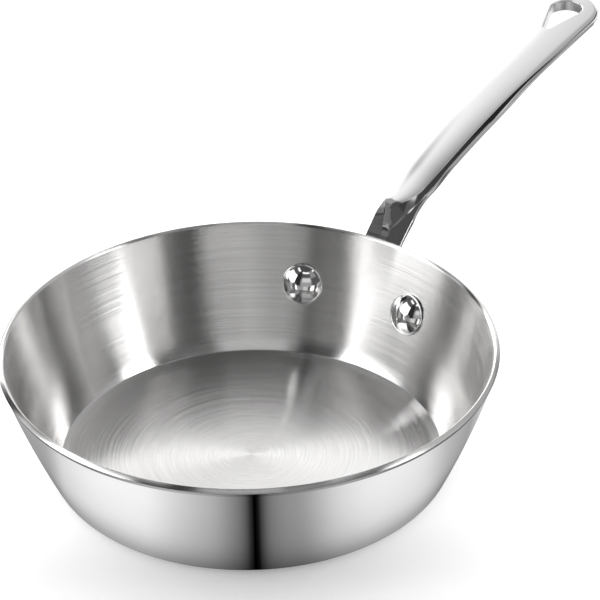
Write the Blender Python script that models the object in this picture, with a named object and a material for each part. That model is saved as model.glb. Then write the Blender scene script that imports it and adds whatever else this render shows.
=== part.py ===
"""Saute pan, nominal 200 mm: a bonded three-ply bowl with a cast handle on two solid rivets.

Metres, +Z up. The origin is the middle of the flat underside, and the handle points along +X.
"""
import math

import bmesh
import bpy
from mathutils import Matrix, Vector

# Bowl, measured on its outer surface
RIM_RADIUS = 0.102          # widest edge of the lip
RIM_HEIGHT = 0.0533         # height of that edge above the underside
FOOT_RADIUS = 0.009         # rounding between the underside and the wall
WALL_ANGLE = math.radians(69.4)     # steepness of the wall half way up
WALL_BARREL = math.radians(7.2)     # how far the wall steepens from its foot to its head
FOOT_ANGLE = WALL_ANGLE - WALL_BARREL / 2
HEAD_ANGLE = WALL_ANGLE + WALL_BARREL / 2
LIP_ANGLE = math.radians(48.0)      # steepness of the pouring lip
LIP_BEND = 0.007            # outer bend radius between wall and lip
LIP_LAND = 0.0013           # straight run at the lip's end

# Bonded sheet, from outside to inside
STEEL_PLY = 0.0004
CORE_PLY = 0.0009
BOND_GAP = 0.0003
LIP_CAP = 0.0008            # inner ply's turned edge, which closes the sheet at the lip
LIP_ROUND = 0.00035         # rounding of the cap's two corners; the outer one is the widest edge
SHEET = 2 * STEEL_PLY + CORE_PLY + 2 * BOND_GAP

# Rivets
RIVET_HEIGHT = 0.0302       # centre of the rivets on the inner wall
RIVET_ANGLE = math.radians(16.4)    # each side of the handle's centre line
RIVET_SHANK = 0.0035
RIVET_HOLE_GAP = 0.0003
RIVET_HEAD = 0.0088         # radius of the domed head inside the bowl
RIVET_DOME = 0.0032
RIVET_BRIM = 0.0005         # height of the thin edge below the dome
RIVET_TAIL = 0.0060         # radius of the upset head behind the flange
RIVET_TAIL_DOME = 0.0020
RIVET_SEAT = 0.0003

# Handle flange
FLANGE_SEAT = 0.0003
FLANGE_THICKNESS = 0.0032
FLANGE_EAR = 0.0120         # radius around each rivet
FLANGE_RISE = 0.0020        # extra half height at the middle
FLANGE_CHAMFER = 0.0008

# Handle neck, as (distance beyond the lip's edge, height over it or half width)
NECK_TOP = ((0.0010, -0.0113), (0.0060, -0.0083), (0.0112, -0.0053), (0.0159, -0.0023),
            (0.0213, 0.0009), (0.0280, 0.0035), (0.0350, 0.0051))
NECK_UNDER = ((0.0010, -0.0201), (0.0060, -0.0150), (0.0112, -0.0109), (0.0190, -0.0060),
              (0.0250, -0.0028), (0.0310, -0.0001), (0.0400, 0.0031))
NECK_HALF_WIDTHS = ((0.0010, 0.0105), (0.0060, 0.0092), (0.0112, 0.0088), (0.0213, 0.0090))
NECK_ROOT_HEIGHT = 0.0134   # height of the root inside the flange
NECK_ROOT_RAISE = 0.0011    # how far the root's middle lies above the rivets
NECK_ROOT_HALF_WIDTH = 0.0145
NECK_UNDER_ROUND = 0.0032

# Nose: the grip's raised top face starts narrow above the neck and widens
NOSE_FOOT = 0.0112          # distance beyond the lip's edge where the nose leaves the neck
NOSE_RISE = ((0.0020, 0.305), (0.0035, 0.600), (0.0045, 0.815), (0.0055, 0.920), (0.0075, 0.960))
NOSE_HALF_WIDTH = 0.0012
NOSE_LENGTH = 0.0195        # over which the top face widens
NOSE_FULLNESS = 1.75        # power of the widening curve
NOSE_FLARE = 0.0011         # how far the nose's foot stands out from its top

# Handle grip: a crowned top face on side walls that stand on a slightly wider ledge
GRIP_REACH = 0.2025         # from the lip's edge to the tip
GRIP_START = 0.0350         # where the top face has widened
GRIP_SETTLED = 0.0560       # where the neck's lines have run into the grip's
GRIP_START_RISE = 0.0088    # height of the top face's edge at its start, over the lip's edge
GRIP_START_SLOPE = 0.185
GRIP_TIP_RISE = 0.0256
GRIP_TIP_SLOPE = 0.015
GRIP_HALF_WIDTHS = ((0.17, 0.0077), (0.38, 0.0092), (0.59, 0.0113), (0.79, 0.0141), (0.90, 0.0150))
GRIP_EDGE = 0.0060          # thickness from the top face's edge to the underside
GRIP_WALL = 0.0038          # height of the side wall above the ledge
GRIP_CROWN = 0.0011         # rise of the top face at its middle
GRIP_LEDGE = 0.0009         # how far the ledge stands out beyond the side wall
GRIP_EDGE_ROUND = 0.0003
GRIP_UNDER_ROUND = 0.0016
LEDGE_FADE = (0.45, 0.70)   # shares of the reach between which the ledge dies away
LEDGE_DROP = 0.0003
LEDGE_SLOPE = 0.08
SECTION_STEP = 0.0001       # least offset between neighbouring outline points

# Handle tip
TIP_BLEND = (0.50, 0.82)    # shares of the reach between which the grip's section turns into the tip's
TIP_ROUND = 0.0185          # length of the elliptical end
TIP_EDGE = 0.0047
TIP_WALL = 0.0024
TIP_EDGE_ROUND = 0.0018
TIP_UNDER_ROUND = 0.0036
HANG_HOLE_WIDE = 0.0073     # radius of the hanging hole's round end
HANG_HOLE_NARROW = 0.0016
HANG_HOLE_PITCH = 0.0200    # between the two radii's centres
HANG_HOLE_TO_TIP = 0.0160   # from the round end's centre to the tip

# Faceting
BOWL_SEGMENTS = 48
FOOT_STEPS = 4
WALL_STEPS = 3
LIP_STEPS = 3
RIVET_SEGMENTS = 24
RIVET_DOME_STEPS = 5
RIVET_TAIL_STEPS = 3
HOLE_SEGMENTS = 16
FLANGE_COLUMNS = 22
FLANGE_ROWS = 4
NECK_STEPS = 4
SHOULDER_STEPS = 5
GRIP_STEPS = 11
TIP_STEPS = 6
TIP_LAST = math.radians(88)     # turn at which the elliptical end is closed
CROWN_STEPS = 4
HANG_HOLE_WIDE_STEPS = 14
HANG_HOLE_NARROW_STEPS = 4
ARC_MIDDLE = 1 - math.cos(math.pi / 4)  # a quarter arc's middle point, from each side, over its radius

CUT_MARGIN = 0.004          # how far cutters run past what they cut


def clear_scene():
    for item in list(bpy.data.objects):
        bpy.data.objects.remove(item, do_unlink=True)


def make_material(name, colour, roughness):
    material = bpy.data.materials.new(name)
    material.use_nodes = True
    shader = material.node_tree.nodes["Principled BSDF"]
    shader.inputs["Base Color"].default_value = (*colour, 1.0)
    shader.inputs["Metallic"].default_value = 1.0
    shader.inputs["Roughness"].default_value = roughness
    material.diffuse_color = (*colour, 1.0)
    return material


def make_object(name, mesh_builder, material=None):
    mesh = bpy.data.meshes.new(name)
    mesh_builder.to_mesh(mesh)
    mesh_builder.free()
    item = bpy.data.objects.new(name, mesh)
    bpy.context.scene.collection.objects.link(item)
    if material is not None:
        mesh.materials.append(material)
        mesh.shade_smooth()
        mesh.set_sharp_from_angle(angle=math.radians(30))
    return item


def as_cutter(item):
    item.hide_render = True
    item.display_type = "WIRE"
    return item


def add_boolean(item, operand, operation):
    modifier = item.modifiers.new(operation.lower() + "_" + operand.name, "BOOLEAN")
    modifier.object = operand
    modifier.operation = operation
    modifier.solver = "EXACT"


def blend(first, second, share):
    return first + (second - first) * share


def face_outwards(mesh_builder):
    bmesh.ops.recalc_face_normals(mesh_builder, faces=mesh_builder.faces)


class BowlProfile:
    """The bowl's half section: foot arc, slightly barrelled wall, lip arc and lip land."""

    def __init__(self):
        corner_run = LIP_ROUND * (math.cos(LIP_ANGLE) + math.sin(LIP_ANGLE) - 1)
        corner_rise = LIP_ROUND * (math.sin(LIP_ANGLE) - math.cos(LIP_ANGLE))
        lip_rise = LIP_BEND * (math.cos(LIP_ANGLE) - math.cos(HEAD_ANGLE)) + LIP_LAND * math.sin(LIP_ANGLE)
        lip_run = LIP_BEND * (math.sin(HEAD_ANGLE) - math.sin(LIP_ANGLE)) + LIP_LAND * math.cos(LIP_ANGLE)
        lip_rise -= corner_rise
        lip_run -= corner_run
        foot_rise = FOOT_RADIUS * (1 - math.cos(FOOT_ANGLE))
        foot_run = FOOT_RADIUS * math.sin(FOOT_ANGLE)
        wall_rise = RIM_HEIGHT - foot_rise - lip_rise
        self.wall_radius = wall_rise / (math.cos(FOOT_ANGLE) - math.cos(HEAD_ANGLE))
        wall_run = self.wall_radius * (math.sin(HEAD_ANGLE) - math.sin(FOOT_ANGLE))
        self.base_radius = RIM_RADIUS - lip_run - wall_run - foot_run
        foot_end = Vector((self.base_radius + foot_run, foot_rise))
        self.wall_centre = foot_end + self.wall_radius * Vector((-math.sin(FOOT_ANGLE), math.cos(FOOT_ANGLE)))
        wall_end = foot_end + Vector((wall_run, wall_rise))
        self.lip_centre = wall_end + LIP_BEND * Vector((math.sin(HEAD_ANGLE), -math.cos(HEAD_ANGLE)))
        self.lip_start = self.lip_centre + LIP_BEND * Vector((-math.sin(LIP_ANGLE), math.cos(LIP_ANGLE)))
        self.lip_direction = Vector((math.cos(LIP_ANGLE), math.sin(LIP_ANGLE)))
        self.lip_inward = Vector((-math.sin(LIP_ANGLE), math.cos(LIP_ANGLE)))

    def on_foot(self, angle, depth):
        reach = FOOT_RADIUS - depth
        return Vector((self.base_radius + reach * math.sin(angle), FOOT_RADIUS - reach * math.cos(angle)))

    def on_wall(self, angle, depth):
        return self.wall_centre + (self.wall_radius - depth) * Vector((math.sin(angle), -math.cos(angle)))

    def on_lip_bend(self, angle, depth):
        return self.lip_centre + (LIP_BEND + depth) * Vector((-math.sin(angle), math.cos(angle)))

    def on_land(self, cut, depth):
        return self.lip_start + (LIP_LAND - cut) * self.lip_direction + depth * self.lip_inward

    def surface(self, depth, cut):
        """Points from the axis to the lip on the surface that lies depth below the outside."""
        points = [Vector((0.0, depth)), Vector((self.base_radius, depth))]
        points += [self.on_foot(FOOT_ANGLE * k / FOOT_STEPS, depth) for k in range(1, FOOT_STEPS)]
        wall = [blend(FOOT_ANGLE, HEAD_ANGLE, k / WALL_STEPS) for k in range(WALL_STEPS + 1)]
        points += [self.on_wall(angle, depth) for angle in wall]
        bend = [blend(HEAD_ANGLE, LIP_ANGLE, k / LIP_STEPS) for k in range(1, LIP_STEPS + 1)]
        points += [self.on_lip_bend(angle, depth) for angle in bend]
        points.append(self.on_land(cut, depth))
        return points

    def widest(self):
        """The point of the lip's rounded outer corner that lies furthest out."""
        centre = self.on_land(LIP_ROUND, LIP_ROUND)
        return centre + Vector((LIP_ROUND, 0.0))

    def wall_angle_at(self, height, depth=0.0):
        """Steepness of the wall where its surface at this depth reaches this height."""
        return math.acos((self.wall_centre.y - height) / (self.wall_radius - depth))


def revolve(section):
    """Closed body of revolution about Z from a section that starts and ends on the axis."""
    builder = bmesh.new()
    rings = []
    for radius, height in section:
        if radius < 1e-9:
            rings.append([builder.verts.new((0.0, 0.0, height))])
            continue
        ring = []
        for k in range(BOWL_SEGMENTS):
            angle = 2 * math.pi * k / BOWL_SEGMENTS
            ring.append(builder.verts.new((radius * math.cos(angle), radius * math.sin(angle), height)))
        rings.append(ring)
    for low, high in zip(rings, rings[1:]):
        for k in range(BOWL_SEGMENTS):
            after = (k + 1) % BOWL_SEGMENTS
            if len(low) == 1:
                builder.faces.new((low[0], high[k], high[after]))
            elif len(high) == 1:
                builder.faces.new((low[k], high[0], low[after]))
            else:
                builder.faces.new((low[k], high[k], high[after], low[after]))
    face_outwards(builder)
    return builder


def ply_section(profile, shallow, deep, cut):
    """Section of one ply between two depths, ending square at the lip."""
    return profile.surface(shallow, cut) + profile.surface(deep, cut)[::-1]


def inner_ply_section(profile):
    """Section of the inner ply, whose lip edge is turned out over the other plies."""
    inside = profile.surface(SHEET, LIP_ROUND)
    cap = [profile.on_land(0.0, SHEET - LIP_ROUND), profile.on_land(0.0, LIP_ROUND), profile.widest(),
           profile.on_land(LIP_ROUND, 0.0), profile.on_land(LIP_CAP, 0.0)]
    back = profile.surface(SHEET - STEEL_PLY, LIP_CAP)[::-1]
    return inside + cap + back


def rivet_frame(profile, side):
    """Matrix whose origin is on the inner wall at a rivet and whose Z runs out through the wall."""
    angle = profile.wall_angle_at(RIVET_HEIGHT, SHEET)
    radius, height = profile.on_wall(angle, SHEET)
    around = side * RIVET_ANGLE
    level_out = Vector((math.cos(around), math.sin(around), 0.0))
    outward = math.sin(angle) * level_out - math.cos(angle) * Vector((0.0, 0.0, 1.0))
    sideways = Vector((-math.sin(around), math.cos(around), 0.0))
    upward = outward.cross(sideways)
    turn = Matrix((sideways, upward, outward)).transposed()
    if turn.determinant() < 0:
        turn = Matrix((-sideways, upward, outward)).transposed()
    place = radius * level_out + Vector((0.0, 0.0, height))
    return Matrix.Translation(place) @ turn.to_4x4()


def spin_about_z(section, segments):
    """Closed body turned about its own Z from (radius, z) points that start and end on the axis."""
    builder = bmesh.new()
    rings = []
    for radius, height in section:
        count = 1 if radius < 1e-9 else segments
        rings.append([builder.verts.new((radius * math.cos(2 * math.pi * k / segments),
                                         radius * math.sin(2 * math.pi * k / segments), height))
                      for k in range(count)])
    for low, high in zip(rings, rings[1:]):
        for k in range(segments):
            after = (k + 1) % segments
            corners = [low[k % len(low)], high[k % len(high)], high[after % len(high)], low[after % len(low)]]
            builder.faces.new(list(dict.fromkeys(corners)))
    face_outwards(builder)
    return builder


def dome(radius, rise, base, steps):
    """Points of a domed cap from its rim at height base to its top on the axis."""
    ball = (radius * radius + rise * rise) / (2 * rise)
    widest = math.asin(radius / ball)
    points = []
    for k in range(steps + 1):
        angle = widest * (1 - k / steps)
        points.append((ball * math.sin(angle), base + ball * math.cos(angle) - (ball - rise)))
    return points


def rivet_section(profile):
    """Lathe section of a rivet, from the top of its inner dome to the top of its upset tail."""
    wall_radius = profile.on_wall(profile.wall_angle_at(RIVET_HEIGHT, SHEET), SHEET).x
    seat = -RIVET_SEAT
    brim = seat - RIVET_HEAD ** 2 / (2 * wall_radius)
    inner_dome = dome(RIVET_HEAD, RIVET_DOME, RIVET_BRIM - brim, RIVET_DOME_STEPS)
    head = [(radius, -height) for radius, height in inner_dome[::-1]]
    tail_base = SHEET + FLANGE_SEAT + FLANGE_THICKNESS + RIVET_SEAT
    shank = [(RIVET_HEAD, brim), (RIVET_SHANK, seat), (RIVET_SHANK, tail_base)]
    return head + shank + dome(RIVET_TAIL, RIVET_TAIL_DOME, tail_base, RIVET_TAIL_STEPS)


def cylinder_along_z(radius, low, high, segments):
    return spin_about_z([(0.0, low), (radius, low), (radius, high), (0.0, high)], segments)


def build_rivet_hole_cutter(profile):
    builder = bmesh.new()
    stack = SHEET + FLANGE_SEAT + FLANGE_THICKNESS
    for side in (-1, 1):
        drill = cylinder_along_z(RIVET_SHANK + RIVET_HOLE_GAP, -CUT_MARGIN, stack + CUT_MARGIN, HOLE_SEGMENTS)
        drill.transform(rivet_frame(profile, side))
        mesh = bpy.data.meshes.new("drill")
        drill.to_mesh(mesh)
        drill.free()
        builder.from_mesh(mesh)
        bpy.data.meshes.remove(mesh)
    return as_cutter(make_object("rivet_hole_cutter", builder))


def flange_half_height(offset, along):
    """Half height of the flange at a distance along it from its middle."""
    distance = abs(along)
    if distance >= offset:
        return math.sqrt(max(0.0, FLANGE_EAR ** 2 - (distance - offset) ** 2))
    return FLANGE_EAR + FLANGE_RISE * (1 + math.cos(math.pi * distance / offset)) / 2


def build_flange(profile):
    """Curved plate that lies on the wall: made flat in (along, out, up), then wrapped round the bowl."""
    angle = profile.wall_angle_at(RIVET_HEIGHT, SHEET)
    centre_height = profile.on_wall(angle, 0.0).y
    reference_radius = profile.on_wall(angle, -FLANGE_SEAT).x
    offset = reference_radius * RIVET_ANGLE
    span = offset + FLANGE_EAR
    builder = bmesh.new()
    layers = []
    for out in (FLANGE_SEAT, FLANGE_SEAT + FLANGE_THICKNESS):
        columns = []
        for i in range(FLANGE_COLUMNS + 1):
            along = -span * math.cos(math.pi * i / FLANGE_COLUMNS)
            half = flange_half_height(offset, along)
            if i in (0, FLANGE_COLUMNS):
                point = builder.verts.new((along, out, centre_height))
                columns.append([point] * (FLANGE_ROWS + 1))
                continue
            columns.append([builder.verts.new((along, out, centre_height + half * (2 * j / FLANGE_ROWS - 1)))
                            for j in range(FLANGE_ROWS + 1)])
        layers.append(columns)
    back, front = layers
    for columns in layers:
        for left, right in zip(columns, columns[1:]):
            for j in range(FLANGE_ROWS):
                corners = [left[j], right[j], right[j + 1], left[j + 1]]
                builder.faces.new(list(dict.fromkeys(corners)))
    for i in range(FLANGE_COLUMNS):
        for j in (0, FLANGE_ROWS):
            builder.faces.new((back[i][j], back[i + 1][j], front[i + 1][j], front[i][j]))
    face_outwards(builder)
    outer = FLANGE_SEAT + FLANGE_THICKNESS
    edges = [edge for edge in builder.edges
             if all(abs(vertex.co.y - outer) < 1e-7 for vertex in edge.verts)
             and any(abs(face.normal.y) < 0.5 for face in edge.link_faces)]
    bmesh.ops.bevel(builder, geom=edges, offset=FLANGE_CHAMFER, segments=1, affect="EDGES")
    for vertex in builder.verts:
        along, out, height = vertex.co
        around = along / reference_radius
        radius, level = profile.on_wall(profile.wall_angle_at(height), -out)
        vertex.co = (radius * math.cos(around), radius * math.sin(around), level)
    face_outwards(builder)
    return as_cutter(make_object("flange_plate", builder))


def smooth_between(points, x):
    """Smooth curve through (x, value) points: cubic pieces with averaged slopes."""
    if x <= points[0][0]:
        return points[0][1]
    if x >= points[-1][0]:
        return points[-1][1]
    slopes = []
    for k in range(len(points)):
        before = points[max(k - 1, 0)]
        after = points[min(k + 1, len(points) - 1)]
        slopes.append((after[1] - before[1]) / (after[0] - before[0]))
    for k in range(len(points) - 1):
        x0, y0 = points[k]
        x1, y1 = points[k + 1]
        if x <= x1:
            width = x1 - x0
            t = (x - x0) / width
            return ((2 * t ** 3 - 3 * t ** 2 + 1) * y0 + (t ** 3 - 2 * t ** 2 + t) * width * slopes[k]
                    + (3 * t ** 2 - 2 * t ** 3) * y1 + (t ** 3 - t ** 2) * width * slopes[k + 1])
    return points[-1][1]


def hermite(start, end, x):
    """Cubic from start to end, each given as (x, value, slope)."""
    width = end[0] - start[0]
    t = min(max((x - start[0]) / width, 0.0), 1.0)
    return ((2 * t ** 3 - 3 * t ** 2 + 1) * start[1] + (t ** 3 - 2 * t ** 2 + t) * width * start[2]
            + (3 * t ** 2 - 2 * t ** 3) * end[1] + (t ** 3 - t ** 2) * width * end[2])


def ease(low, high, x):
    """0 up to low, 1 from high on, smooth between."""
    t = min(max((x - low) / (high - low), 0.0), 1.0)
    return t * t * (3 - 2 * t)


class GripShape:
    """Cross-section sizes of the neck and grip at a distance beyond the lip's edge."""

    def __init__(self, profile):
        angle = profile.wall_angle_at(RIVET_HEIGHT, SHEET)
        rivet_level = profile.on_wall(angle, 0.0).y
        wall_angle = profile.wall_angle_at(rivet_level + NECK_ROOT_RAISE)
        root = profile.on_wall(wall_angle, -(FLANGE_SEAT + FLANGE_THICKNESS / 2))
        half = NECK_ROOT_HEIGHT / 2
        self.root = root.x - RIM_RADIUS
        self.lean = 1 / math.tan(wall_angle)
        self.neck_top = ((self.root, root.y - RIM_HEIGHT + half),) + NECK_TOP
        self.neck_under = ((self.root, root.y - RIM_HEIGHT - half),) + NECK_UNDER
        self.neck_widths = ((self.root, NECK_ROOT_HALF_WIDTH),) + NECK_HALF_WIDTHS
        foot_level = smooth_between(self.neck_top, NOSE_FOOT)
        nose = tuple((NOSE_FOOT + run, foot_level + share * (GRIP_START_RISE - foot_level))
                     for run, share in NOSE_RISE)
        self.nose_top = ((NOSE_FOOT, foot_level),) + nose + ((GRIP_START, GRIP_START_RISE),)
        self.tip_start = GRIP_REACH - TIP_ROUND

    def edge_level(self, x):
        return hermite((GRIP_START, GRIP_START_RISE, GRIP_START_SLOPE),
                       (GRIP_REACH, GRIP_TIP_RISE, GRIP_TIP_SLOPE), x)

    def half_width(self, x):
        """Half width of the top face."""
        if x < GRIP_START:
            t = min((GRIP_START - x) / NOSE_LENGTH, 1.0)
            return NOSE_HALF_WIDTH + (GRIP_HALF_WIDTHS[0][1] - NOSE_HALF_WIDTH) * (1 - t ** NOSE_FULLNESS)
        if x > self.tip_start:
            t = min((x - self.tip_start) / TIP_ROUND, 1.0)
            return GRIP_HALF_WIDTHS[-1][1] * math.sqrt(1 - t * t)
        return smooth_between([(share * GRIP_REACH, half) for share, half in GRIP_HALF_WIDTHS], x)

    def section(self, x):
        """Half outline from the middle of the top face to the middle of the underside."""
        settled = ease(GRIP_START, GRIP_SETTLED, x)
        tip = ease(TIP_BLEND[0] * GRIP_REACH, TIP_BLEND[1] * GRIP_REACH, x)
        half = self.half_width(x)
        edge = self.edge_level(x)
        grip_ledge = edge - blend(GRIP_WALL, TIP_WALL, tip)
        grip_under = edge - blend(GRIP_EDGE, TIP_EDGE, tip)
        ledge = blend(smooth_between(self.neck_top, x), grip_ledge, settled)
        under = blend(smooth_between(self.neck_under, x), grip_under, settled)
        if x <= NOSE_FOOT:
            top = ledge + SECTION_STEP
        elif x < GRIP_START:
            top = smooth_between(self.nose_top, x)
        else:
            top = edge
        crown = GRIP_CROWN * min(1.0, half / GRIP_HALF_WIDTHS[0][1])
        foot = half + SECTION_STEP + NOSE_FLARE * (1 - ease(NOSE_FOOT, GRIP_START, x))
        faded = ease(LEDGE_FADE[0] * GRIP_REACH, LEDGE_FADE[1] * GRIP_REACH, x)
        grip_wide = half + 2 * SECTION_STEP + GRIP_LEDGE * (1 - faded)
        onto_grip = ease(NECK_HALF_WIDTHS[-1][0], GRIP_START, x)
        wide = blend(smooth_between(self.neck_widths, x), grip_wide, onto_grip)
        edge_round = min(blend(GRIP_EDGE_ROUND, TIP_EDGE_ROUND, tip), half / 2, (top - ledge) / 2)
        under_round = blend(blend(NECK_UNDER_ROUND, GRIP_UNDER_ROUND, settled), TIP_UNDER_ROUND, tip)
        under_round = min(under_round, 0.4 * wide, 0.8 * (ledge - under))
        inner = half - edge_round
        across = [k / CROWN_STEPS for k in range(CROWN_STEPS + 1)]
        points = [(inner * share, top + crown * (1 - share ** 2)) for share in across]
        points += [(half - ARC_MIDDLE * edge_round, top - ARC_MIDDLE * edge_round), (half, top - edge_round)]
        points += [(foot, ledge), (wide, ledge - LEDGE_DROP - LEDGE_SLOPE * (wide - foot))]
        points += [(wide, under + under_round)]
        points += [(wide - ARC_MIDDLE * under_round, under + ARC_MIDDLE * under_round)]
        points += [(wide - under_round, under), (0.0, under)]
        return points

    def stations(self):
        """Distances at which the loft has a section."""
        nose = [x for x, level in self.nose_top[:-1]]
        neck = [blend(self.root, NOSE_FOOT, k / NECK_STEPS) for k in range(NECK_STEPS)]
        shoulder = [blend(nose[-1], GRIP_START, k / SHOULDER_STEPS) for k in range(1, SHOULDER_STEPS)]
        grip = [blend(GRIP_START, self.tip_start, k / GRIP_STEPS) for k in range(GRIP_STEPS + 1)]
        turns = [TIP_LAST * k / TIP_STEPS for k in range(1, TIP_STEPS + 1)]
        tip = [self.tip_start + TIP_ROUND * math.sin(turn) for turn in turns]
        return neck + nose + shoulder + grip + tip


def build_grip(profile):
    """Closed loft through the grip's sections; the ones near the root lean and bend with the wall."""
    shape = GripShape(profile)
    builder = bmesh.new()
    rings = []
    for x in shape.stations():
        half = shape.section(x)
        outline = half + [(-side, level) for side, level in half[-2:0:-1]]
        rooted = 1 - ease(shape.root, NOSE_FOOT, x)
        middle = (half[0][1] + half[-1][1]) / 2
        ring = []
        for side, level in outline:
            leaned = x + rooted * shape.lean * (level - middle)
            bent = leaned - rooted * side * side / (2 * (RIM_RADIUS + shape.root))
            ring.append(builder.verts.new((RIM_RADIUS + bent, side, RIM_HEIGHT + level)))
        rings.append(ring)
    for near, far in zip(rings, rings[1:]):
        for k in range(len(near)):
            after = (k + 1) % len(near)
            builder.faces.new((near[k], near[after], far[after], far[k]))
    builder.faces.new(rings[0][::-1])
    builder.faces.new(rings[-1])
    face_outwards(builder)
    return builder


def build_hang_hole_cutter():
    """Upright prism with the hanging hole's drop-shaped outline."""
    wide_x = RIM_RADIUS + GRIP_REACH - HANG_HOLE_TO_TIP
    narrow_x = wide_x - HANG_HOLE_PITCH
    touch = math.acos((HANG_HOLE_WIDE - HANG_HOLE_NARROW) / HANG_HOLE_PITCH)
    outline = []
    for k in range(HANG_HOLE_WIDE_STEPS + 1):
        angle = (math.pi - touch) * (2 * k / HANG_HOLE_WIDE_STEPS - 1)
        outline.append((wide_x + HANG_HOLE_WIDE * math.cos(angle), HANG_HOLE_WIDE * math.sin(angle)))
    for k in range(HANG_HOLE_NARROW_STEPS + 1):
        angle = math.pi + touch * (2 * k / HANG_HOLE_NARROW_STEPS - 1)
        outline.append((narrow_x + HANG_HOLE_NARROW * math.cos(angle), HANG_HOLE_NARROW * math.sin(angle)))
    low = RIM_HEIGHT + GRIP_START_RISE - GRIP_EDGE - CUT_MARGIN
    high = RIM_HEIGHT + GRIP_TIP_RISE + GRIP_CROWN + CUT_MARGIN
    builder = bmesh.new()
    base = [builder.verts.new((x, y, low)) for x, y in outline]
    lid = [builder.verts.new((x, y, high)) for x, y in outline]
    builder.faces.new(base[::-1])
    builder.faces.new(lid)
    for k in range(len(outline)):
        after = (k + 1) % len(outline)
        builder.faces.new((base[k], base[after], lid[after], lid[k]))
    face_outwards(builder)
    return as_cutter(make_object("hang_hole_cutter", builder))


def build_plies(profile, rivet_holes):
    satin = make_material("satin_steel", (0.62, 0.61, 0.60), 0.28)
    aluminium = make_material("aluminium", (0.80, 0.81, 0.82), 0.40)
    bright = make_material("bright_steel", (0.70, 0.70, 0.71), 0.08)
    core_shallow = STEEL_PLY + BOND_GAP
    cut = LIP_CAP + BOND_GAP
    sections = (("inner_ply", inner_ply_section(profile), satin),
                ("core_ply", ply_section(profile, core_shallow, core_shallow + CORE_PLY, cut), aluminium),
                ("outer_ply", ply_section(profile, 0.0, STEEL_PLY, cut), bright))
    for name, section, material in sections:
        ply = make_object(name, revolve(section), material)
        add_boolean(ply, rivet_holes, "DIFFERENCE")


def build_handle(profile, rivet_holes):
    polished = make_material("polished_cast_steel", (0.72, 0.72, 0.73), 0.07)
    handle = make_object("handle", build_grip(profile), polished)
    add_boolean(handle, build_flange(profile), "UNION")
    add_boolean(handle, rivet_holes, "DIFFERENCE")
    add_boolean(handle, build_hang_hole_cutter(), "DIFFERENCE")


def build_rivets(profile):
    rivet_steel = make_material("rivet_steel", (0.68, 0.68, 0.69), 0.10)
    for name, side in (("rivet_left", 1), ("rivet_right", -1)):
        rivet = make_object(name, spin_about_z(rivet_section(profile), RIVET_SEGMENTS), rivet_steel)
        rivet.matrix_world = rivet_frame(profile, side)


def main():
    clear_scene()
    profile = BowlProfile()
    rivet_holes = build_rivet_hole_cutter(profile)
    build_plies(profile, rivet_holes)
    build_handle(profile, rivet_holes)
    build_rivets(profile)


main()
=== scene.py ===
from math import acos, asin, atan, atan2, cos, pi, radians, sin, sqrt, tan

import bmesh
import bpy
from mathutils import Matrix, Vector


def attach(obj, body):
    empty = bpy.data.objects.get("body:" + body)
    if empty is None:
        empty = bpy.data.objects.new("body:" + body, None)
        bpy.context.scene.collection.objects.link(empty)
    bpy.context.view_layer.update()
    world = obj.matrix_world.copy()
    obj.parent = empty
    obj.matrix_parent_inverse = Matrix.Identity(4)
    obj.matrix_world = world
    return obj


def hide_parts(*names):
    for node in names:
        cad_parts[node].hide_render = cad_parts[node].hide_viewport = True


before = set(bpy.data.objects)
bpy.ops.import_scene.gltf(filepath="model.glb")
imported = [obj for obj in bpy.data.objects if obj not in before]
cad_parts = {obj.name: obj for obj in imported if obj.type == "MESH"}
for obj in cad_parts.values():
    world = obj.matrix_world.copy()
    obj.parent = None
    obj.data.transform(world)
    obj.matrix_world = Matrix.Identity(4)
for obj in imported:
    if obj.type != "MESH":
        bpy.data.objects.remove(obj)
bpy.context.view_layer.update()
bpy.context.scene.view_settings.view_transform = "Standard"

# the photo's point of view; turn is the bowl's turn under it
view = {
    "lens": 209.16, "distance": 1.41646, "rise": 31.8096, "roll": -1.14, "turn": -59.3,
    "across": -0.0147, "up": -0.0144, "lookHeight": 0.05333, "nearest": 0.05, "furthest": 50.0,
}

# small helpers

tiny = 1e-5    # the step that slopes are measured over, and the least radius
meshing = {"gap": 2e-7, "sliver": 1e-8, "sharpAngle": 30}


def mix(first, second, share):
    return first + (second - first) * share


def shares(count):
    # evenly spaced from 0 to 1
    return [k / count for k in range(count + 1)]


def ease(low, high, x):
    # 0 up to low, 1 from high on, smooth between
    t = min(max((x - low) / (high - low), 0.0), 1.0)
    return t * t * (3 - 2 * t)


def bendBetween(start, end, x):
    # cubic between two (x, value, slope) ends
    width = end[0] - start[0]
    t = min(max((x - start[0]) / width, 0.0), 1.0)
    return ((2 * t ** 3 - 3 * t ** 2 + 1) * start[1] + (t ** 3 - 2 * t ** 2 + t) * width * start[2]
            + (3 * t ** 2 - 2 * t ** 3) * end[1] + (t ** 3 - t ** 2) * width * end[2])


def curveThrough(points, x):
    # smooth curve through (x, value) points, level beyond them
    if x <= points[0][0]:
        return points[0][1]
    if x >= points[-1][0]:
        return points[-1][1]
    ends = []
    for k, (place, value) in enumerate(points):
        before, after = points[max(k - 1, 0)], points[min(k + 1, len(points) - 1)]
        ends.append((place, value, (after[1] - before[1]) / (after[0] - before[0])))
    k = next(k for k in range(1, len(ends)) if x <= ends[k][0])
    return bendBetween(ends[k - 1], ends[k], x)


def headingAt(angle):
    return Vector((cos(angle), sin(angle)))


def leftOf(angle):
    # a quarter turn to the left of that heading
    return Vector((-sin(angle), cos(angle)))


def wayAt(angle, rise=0.0):
    # direction at an angle round from the right of the photo and above the table, in degrees
    turn, up = radians(angle + view["turn"]), radians(rise)
    return Vector((cos(up) * cos(turn), cos(up) * sin(turn), sin(up)))


def newObject(name, data):
    thing = bpy.data.objects.new(name, data)
    bpy.context.scene.collection.objects.link(thing)
    return thing


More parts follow.
